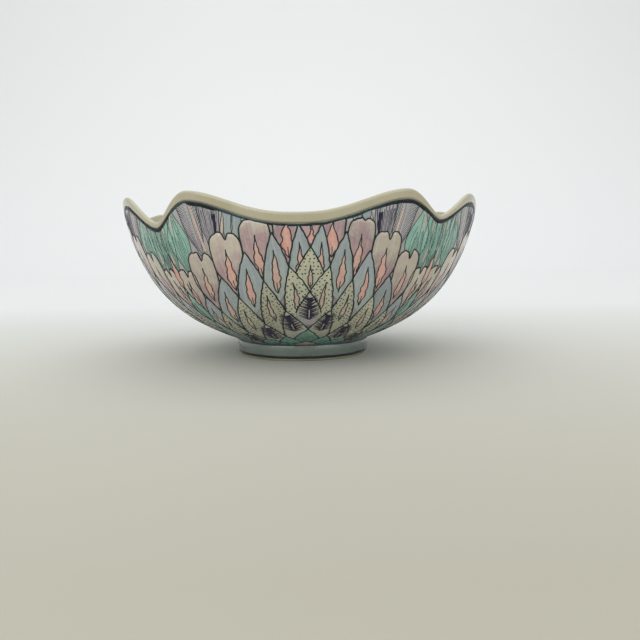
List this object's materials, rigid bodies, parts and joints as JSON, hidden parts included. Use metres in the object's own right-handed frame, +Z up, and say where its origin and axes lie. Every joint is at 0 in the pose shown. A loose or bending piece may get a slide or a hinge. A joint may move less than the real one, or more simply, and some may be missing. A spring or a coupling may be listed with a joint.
{
  "type": "serving bowl",
  "caption": "Round porcelain serving bowl with a wavy lobed rim, a turned foot ring and painted petal enamels outside.",
  "frame": {"origin": "centre of the foot ring's standing edge, on the table", "axes": "+Z up along the bowl's axis; the middle of the front lobe faces -Y, and a notch lies at 45 degrees between every two lobes"},
  "size_m": [0.2484, 0.2484, 0.1115],
  "materials": {
    "porcelain": "fired white porcelain",
    "biscuit": "unglazed, slightly stained biscuit",
    "clear_glaze": "glossy cream glaze",
    "teal_enamel": "glossy dark teal enamel line",
    "petal_enamel": "painted cream, sage, mauve and salmon enamels",
    "leaf_enamel": "painted sea-green and grey-purple enamels",
    "foot_glaze": "glossy pale grey-teal glaze",
    "ink_enamel": "dark painted line"
  },
  "bodies": {
    "root": {"bowl_body": "porcelain", "foot_ring": "biscuit", "inside_glaze": "clear_glaze", "rim_line": "teal_enamel", "front_petal_panel": "petal_enamel", "right_petal_panel": "petal_enamel", "back_petal_panel": "petal_enamel", "left_petal_panel": "petal_enamel", "front_right_leaf_field": "leaf_enamel", "back_right_leaf_field": "leaf_enamel", "back_left_leaf_field": "leaf_enamel", "front_left_leaf_field": "leaf_enamel", "join_line": "teal_enamel", "foot_glaze": "foot_glaze", "foot_line": "ink_enamel", "base_glaze": "clear_glaze"}
  },
  "joints": []
}
